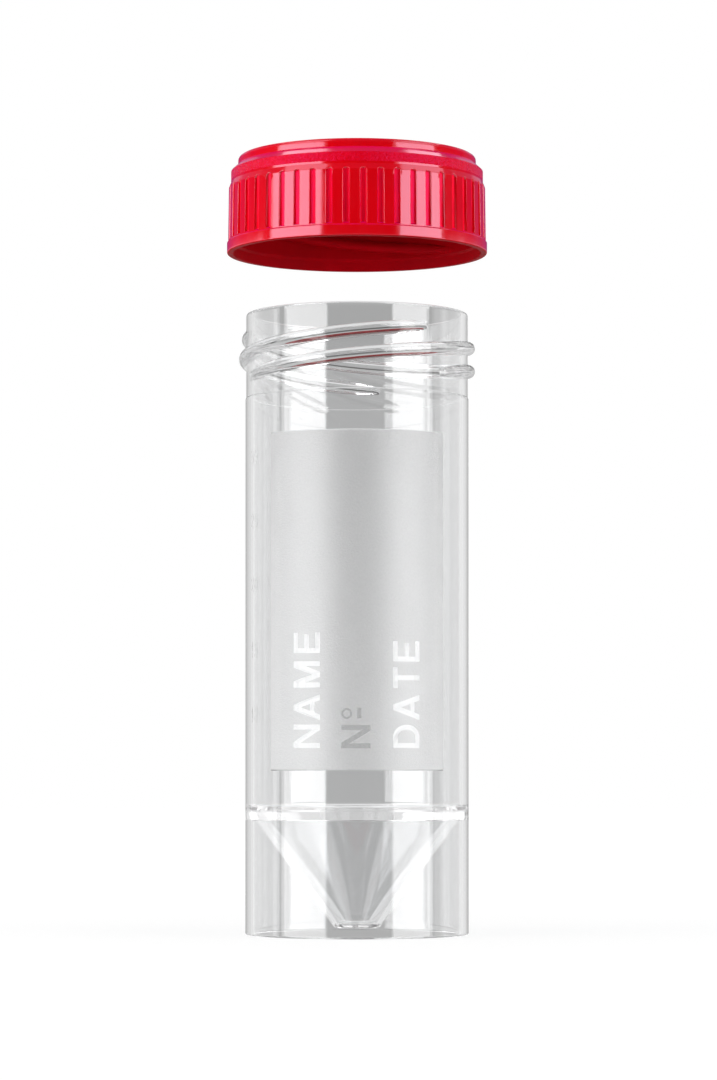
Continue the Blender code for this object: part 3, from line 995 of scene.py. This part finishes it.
# %% Outline of the cap inside
LEAD_IN, LEAD_IN_HEIGHT = 0.0003, 0.0013
MOUTH_FLARE = 0.00015
MOUTH_RING = 0.0002
INNER_ROUND = 0.0001
ROOF_ROUND = 0.0005
SHOULDER_DEPTH = 0.0007
INNER_TOP_RADIUS = TOP_RADIUS - 0.0040
LOW_GAP, HIGH_GAP = 0.0005, 0.0002
lead_in_radius = CAP_BORE + LEAD_IN
mouth_radius = lead_in_radius + MOUTH_FLARE
inner_mouth = (mouth_radius + MOUTH_RING, cap_mouth)
inner_top = (INNER_TOP_RADIUS, cap_top)
thread_low = cap_mouth + LEAD_IN_HEIGHT + LOW_GAP
thread_high = cap_mouth + THREAD_ZONE - HIGH_GAP
mouth_side = rounded([
    (*inner_mouth, 0),
    (mouth_radius, cap_mouth, INNER_ROUND),
    (lead_in_radius, cap_mouth + LEAD_IN_HEIGHT, INNER_ROUND),
    (CAP_BORE, cap_mouth + LEAD_IN_HEIGHT + LEAD_IN, INNER_ROUND),
    (CAP_BORE, thread_low, 0),
])
roof_side = rounded([
    (CAP_BORE, thread_high, 0),
    (CAP_BORE, cap_mouth + THREAD_ZONE, INNER_ROUND),
    (CAP_SEAT_BORE, cap_mouth + THREAD_ZONE + SHOULDER_DEPTH, INNER_ROUND),
    (CAP_SEAT_BORE, cap_mouth + ROOF_UNDERSIDE, ROOF_ROUND),
    (0.0, cap_mouth + ROOF_UNDERSIDE, 0),
])
print("mouth", round(2 * mouth_radius * 1000, 2), "mm wide inside")

# %% Build the cap
def turned(outline):
    """The same outline for each of the inner columns."""
    return [outline] * len(inner_angles)


cap_skin = Skin()
cap_skin.grid(cap_angles, [cap_column(a) for a in cap_angles], cap_finish)
cap_skin.annulus(cap_angles, (MOUTH_FLAT_RADIUS, cap_mouth), inner_angles, inner_mouth, SATIN_INSIDE_PAINTED_SHADE)
cap_skin.annulus(cap_angles, (TOP_FLAT_RADIUS, cap_top), inner_angles, inner_top, MATT_TOP)
cap_skin.grid(inner_angles, turned([inner_top, (0.0, cap_top)]), MATT_TOP)
cap_skin.grid(inner_angles, turned(mouth_side), SATIN_INSIDE_PAINTED_SHADE)
cap_thread, cap_rows_a_turn = thread_columns(inner_angles, CAP_BORE, thread_low, thread_high, CAP_RIDGE, -1)
cap_skin.grid(inner_angles, cap_thread, SATIN_INSIDE_PAINTED_SHADE, shift=cap_rows_a_turn)
cap_skin.grid(inner_angles, turned(roof_side), SATIN_INSIDE_PAINTED_SHADE)
cap = finished("red_cap", cap_skin, RED_FINISHES)
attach(cap, "cap")
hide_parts("cap")

# %% [markdown]
# The liner is a disc of expanded foam that seals the rim. It can be seen only from below, through the
# mouth. A turned outline gives it soft edges, and a shallow ring where the rim has pressed into it.

# %% Foam liner
FOAM_TINTS = ((0.78, 0.78, 0.76), (0.88, 0.88, 0.86))


def foam(name):
    """White closed-cell foam with a pebbled skin."""
    material, tree, surface = new_material(name)
    cells = noise(tree, 2200.0, detail=5.0)
    inputs = {
        "Base Color": tinted(tree, cells, *FOAM_TINTS),
        "Roughness": spread(tree, cells, 0.6, 0.85),
        "Normal": bumped(tree, (cells, 0.5, 0.00006)),
    }
    tree.links.new(add(tree, "BsdfPrincipled", inputs).outputs["BSDF"], surface)
    return material


LINER_ROUND = 0.0002
PRESSED_BY = 0.00012
PRESSED_HALF = 0.0007
liner_radius = liner_high.x
rim_middle = (NECK_RADIUS + BORE_RADIUS) / 2
liner_outline = rounded([
    (0.0, liner_high.z, 0),
    (liner_radius, liner_high.z, LINER_ROUND),
    (liner_radius, liner_low.z, LINER_ROUND),
    (rim_middle + PRESSED_HALF, liner_low.z, PRESSED_BY),
    (rim_middle + PRESSED_HALF / 2, liner_low.z + PRESSED_BY, PRESSED_BY),
    (rim_middle - PRESSED_HALF / 2, liner_low.z + PRESSED_BY, PRESSED_BY),
    (rim_middle - PRESSED_HALF, liner_low.z, PRESSED_BY),
    (0.0, liner_low.z, 0),
])
LINER_COLUMNS = 240
liner_skin = Skin()
liner_angles = [math.tau * i / LINER_COLUMNS for i in range(LINER_COLUMNS)]
liner_skin.grid(liner_angles, [liner_outline] * LINER_COLUMNS)
liner = finished("foam_liner", liner_skin, [foam("white_foam")])
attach(liner, "liner")
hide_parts("liner")

# %% [markdown]
# Clear plastic has no look of its own: it shows the studio around it. This one is a ring of glowing card at
# arm's length, as a product photographer builds it. Two tall soft boxes stand left and right of the camera,
# with narrow dark flags beside them that draw the edges, and grey card behind the tube gives it a body. The
# ring has four bands, one above another: white paper at the foot, then the cards that the tube shows, then
# those that the cap's side mirrors, and at the top those for its upper edge.

# %% Bands of the studio ring
RING_RADIUS = 0.60
TABLE_EDGE = -0.05
FRONT_BAND_TOP, BACK_BAND_TOP = 0.152, 0.172
FRONT_HALF = 84.0
CAP_BAND_TOP = 0.27
RING_LOW, RING_HIGH = -0.35, 0.50
TABLE_GLOW, GROUND_GLOW = 0.84, 0.62
EDGE = 1.5
TUBE_BAND = [
    (-176.0, 0.43), (-170.0, 0.46), (-158.0, 0.52), (-140.0, 0.72), (-110.0, 1.05), (-101.0, 1.15),
    (-95.0, 1.5), (-90.0, 2.6), (-83.0, 0.1), (-32.0, 3.5), (37.0, 0.42), (83.0, 3.5),
    (86.5, 0.1), (98.5, 0.9), (108.0, 1.6), (140.0, 0.95), (158.0, 0.8), (170.0, 0.52),
    (176.0, 0.46), (180.0, 0.43),
]
CAP_BAND = [
    (-125.0, 0.1), (-80.0, 0.04), (-31.0, 3.9), (37.0, 0.0), (79.0, 3.9), (125.0, 0.04),
    (180.0, 0.1),
]
TOP_BAND = [
    (-140.0, 0.5), (-83.0, 0.2), (-34.0, 1.6), (36.0, 0.05), (78.0, 1.6), (140.0, 0.2),
    (180.0, 0.5),
]
print("soft boxes glow", max(g for _, g in TUBE_BAND), "times white")

# %% [markdown]
# The cards could be lamps, but a lamp has one strength all over. A mesh that glows by point holds all the
# cards in one piece. Only mirrored and refracted rays see it, and the camera sees plain white. A card seen
# straight through the tube is held a little below white, or the tube would vanish against it from some
# sides, while its mirror images keep their full strength.

# %% Glowing cards
SEEN_THROUGH = 0.86
RING_STEP = 0.5
AZIMUTHS = [-180.0 + RING_STEP * i for i in range(int(360 / RING_STEP))]


def glow_at(azimuth, band):
    """How bright a band of the ring is at an azimuth, in degrees from the camera's side towards +X.

    The band lists where each stretch ends and how bright it is, and stretches blend over a narrow edge.
    """
    glow = band[0][1]
    for (end, before), (_, after) in zip(band, band[1:]):
        share = min(1.0, max(0.0, (azimuth - end) / EDGE + 0.5))
        glow += (after - before) * share
    return glow


def glowing(name):
    """Emission as strong as the mesh's glow attribute says, held back where it is seen straight through."""
    material, tree, surface = new_material(name)
    glow = add(tree, "Attribute", attribute_name="glow").outputs["Fac"]
    held = add(tree, "Math", {0: glow, 1: SEEN_THROUGH}, operation="MINIMUM").outputs["Value"]
    mirrored = add(tree, "LightPath").outputs["Glossy Depth"]
    strength = add(tree, "Mix", {"Factor": mirrored, "A": held, "B": glow}).outputs["Result"]
    tree.links.new(add(tree, "Emission", {"Strength": strength}).outputs["Emission"], surface)
    return material


def stage_only(obj, mirrors_see):
    """Mark a stage piece that only mirrored and refracted rays meet, or only the camera and shadow rays."""
    obj.visible_camera = not mirrors_see
    obj.visible_shadow = not mirrors_see
    obj.visible_glossy = mirrors_see
    obj.visible_transmission = mirrors_see
    obj.visible_diffuse = False


def glowing_mesh(name, columns, glows):
    """A stage mesh that glows by point, from a column of (radius, height) points at each azimuth."""
    skin = Skin()
    skin.grid([math.radians(a) for a in AZIMUTHS], columns)
    mesh = bpy.data.meshes.new(name)
    mesh.from_pydata(skin.points, [], skin.faces)
    mesh.attributes.new("glow", "FLOAT", "POINT").data.foreach_set("value", glows)
    mesh.materials.append(glowing(name))
    stage_only(in_scene(name, mesh), mirrors_see=True)


print("cards held to", SEEN_THROUGH, "seen straight through")

# %% [markdown]
# The ring is a short, wide cylinder of cards. It has a point every half degree, so each card has a crisp
# edge.

# %% Studio ring
BLEND = 0.005


def ring_heights(azimuth):
    """Where the bands of the ring end at an azimuth. The tube's band is taller behind the tube."""
    tube_top_edge = FRONT_BAND_TOP if abs(azimuth) < FRONT_HALF else BACK_BAND_TOP
    edges = [(TABLE_EDGE - BLEND, TABLE_EDGE), (tube_top_edge - BLEND, tube_top_edge)]
    edges.append((CAP_BAND_TOP - 2 * BLEND, CAP_BAND_TOP))
    return [RING_LOW, *(z for pair in edges for z in pair), RING_HIGH]


ring_glows = []
for a in AZIMUTHS:
    for glow in (TABLE_GLOW, *(glow_at(a, band) for band in (TUBE_BAND, CAP_BAND, TOP_BAND))):
        ring_glows += [glow, glow]
glowing_mesh("studio_ring", [[(RING_RADIUS, z) for z in ring_heights(a)] for a in AZIMUTHS], ring_glows)
print(len(ring_glows), "points in the ring")

# %% [markdown]
# Two more cards close the ring above and below. The upper one is dim, or the cap's sloping steps would
# mirror it and turn pale, but for the places where the steps mirror the upper ends of the soft boxes. The
# lower one is bright: it lights the corner where the cone meets the wall.

# %% Ceiling and ground cards
DIM = 0.12
STEP_GLOW, LEDGE_GLOW = 1.9, 2.8
LEFT_LEDGE = [(-175.0, DIM), (-125.0, LEDGE_GLOW)]
RIGHT_LEDGE = [(125.0, DIM), (170.0, LEDGE_GLOW), (180.0, DIM)]
STEPS = [(-81.0, DIM), (-33.0, STEP_GLOW), (50.0, 0.05), (98.0, STEP_GLOW)]
CEILING = [
    (0.15, [(180.0, DIM)]),
    (0.21, LEFT_LEDGE + [(180.0, DIM)]),
    (0.33, LEFT_LEDGE + STEPS + RIGHT_LEDGE),
    (0.40, STEPS + RIGHT_LEDGE),
    (RING_RADIUS, STEPS + [(180.0, DIM)]),
]
GROUND = [(RING_RADIUS, [(180.0, GROUND_GLOW)])]
HOLE = 0.001


def disc(name, z, zones):
    """A round glowing card of zones from the middle out, each with its reach and its glow all round."""
    column, bands = [], []
    radius = HOLE
    for reach, band in zones:
        column += [(radius, z), (reach - BLEND, z)]
        bands += [band, band]
        radius = reach + BLEND
    glowing_mesh(name, [column] * len(AZIMUTHS), [glow_at(a, band) for a in AZIMUTHS for band in bands])


disc("ceiling_card", RING_HIGH, CEILING)
disc("ground_card", RING_LOW, GROUND)
print("ring closed")

# %% [markdown]
# The floor and the backdrop are white for the camera. The floor still takes a little of the lamps' light
# near the tube, so a soft shadow grounds it, and fades to plain white further out.

# %% Floor
FLOOR_RADIUS = 1.5
FLOOR_DROP = 0.00005
SHADOW_NEAR, SHADOW_FAR = 0.03, 0.16
SHADOW_SHARE = 0.22
PAPER = (0.9, 0.9, 0.9, 1.0)
FLOOR_GLOW = 1.04


def floor_material():
    """White for the camera, and mixed near the tube with a diffuse white that takes its shadow."""
    material, tree, surface = new_material("floor_white")
    place = add(tree, "TexCoord").outputs["Object"]
    reach = add(tree, "VectorMath", {0: place}, operation="LENGTH").outputs["Value"]
    share = spread(tree, reach, SHADOW_SHARE, 0.0, SHADOW_NEAR, SHADOW_FAR)
    white = add(tree, "Emission", {"Strength": FLOOR_GLOW}).outputs["Emission"]
    paper = add(tree, "BsdfDiffuse", {"Color": PAPER}).outputs["BSDF"]
    tree.links.new(mixed(tree, share, white, paper), surface)
    return material


floor_bm = bmesh.new()
bmesh.ops.create_circle(floor_bm, cap_ends=True, radius=FLOOR_RADIUS, segments=96)
floor_mesh = bpy.data.meshes.new("floor")
floor_bm.to_mesh(floor_mesh)
floor_bm.free()
floor_mesh.materials.append(floor_material())
floor = in_scene("floor", floor_mesh)
floor.location.z = -FLOOR_DROP
stage_only(floor, mirrors_see=False)
print("floor", 2 * FLOOR_RADIUS, "m across")

# %% [markdown]
# The world is the backdrop. It is white wherever the camera, a mirror or clear plastic looks past the ring,
# and a soft grey light for whatever is matt, so that the red's shaded sides don't go black.

# %% World
AMBIENT = 0.4


def white_world():
    """White wherever it is seen, mirrored or looked through to, and grey light for the rest."""
    world = bpy.data.worlds.new("studio")
    world.use_nodes = True
    tree = world.node_tree
    background = tree.nodes["Background"]
    path = add(tree, "LightPath")
    seen = path.outputs["Is Camera Ray"]
    for kind in ("Is Glossy Ray", "Is Transmission Ray"):
        either = add(tree, "Math", {0: seen, 1: path.outputs[kind]}, operation="MAXIMUM")
        seen = either.outputs["Value"]
    tree.links.new(spread(tree, seen, AMBIENT, 1.0, 0.0, 1.0), background.inputs["Strength"])
    background.inputs["Color"].default_value = (1.0, 1.0, 1.0, 1.0)
    bpy.context.scene.world = world


white_world()
print("ambient", AMBIENT)

# %% [markdown]
# The lamps match the two soft boxes of the ring, and light only what is matt: the red plastic, the foam and
# the floor. Mirrored images of the boxes come from the ring, so they aren't counted twice.

# %% Lamps
LAMP_DISTANCE = 0.60
LAMP_SIZE = (0.46, 0.85)
LAMP_HEIGHT, AIM_HEIGHT = 0.12, 0.08
LAMPS = {"left_box": (-67.0, 7.0), "right_box": (67.0, 4.9)}


def lamp(name, azimuth, watts):
    """A tall soft box that faces the tube."""
    data = bpy.data.lights.new(name, "AREA")
    data.shape = "RECTANGLE"
    data.size, data.size_y = LAMP_SIZE
    data.energy = watts
    obj = in_scene(name, data)
    obj.location = on_circle(math.radians(azimuth), LAMP_DISTANCE, LAMP_HEIGHT)
    aim = Vector((0.0, 0.0, AIM_HEIGHT)) - obj.location
    obj.rotation_euler = aim.to_track_quat("-Z", "Y").to_euler()
    obj.visible_camera = False
    obj.visible_glossy = False
    obj.visible_transmission = False


for lamp_name, (lamp_azimuth, lamp_watts) in LAMPS.items():
    lamp(lamp_name, lamp_azimuth, lamp_watts)
print(len(LAMPS), "lamps")
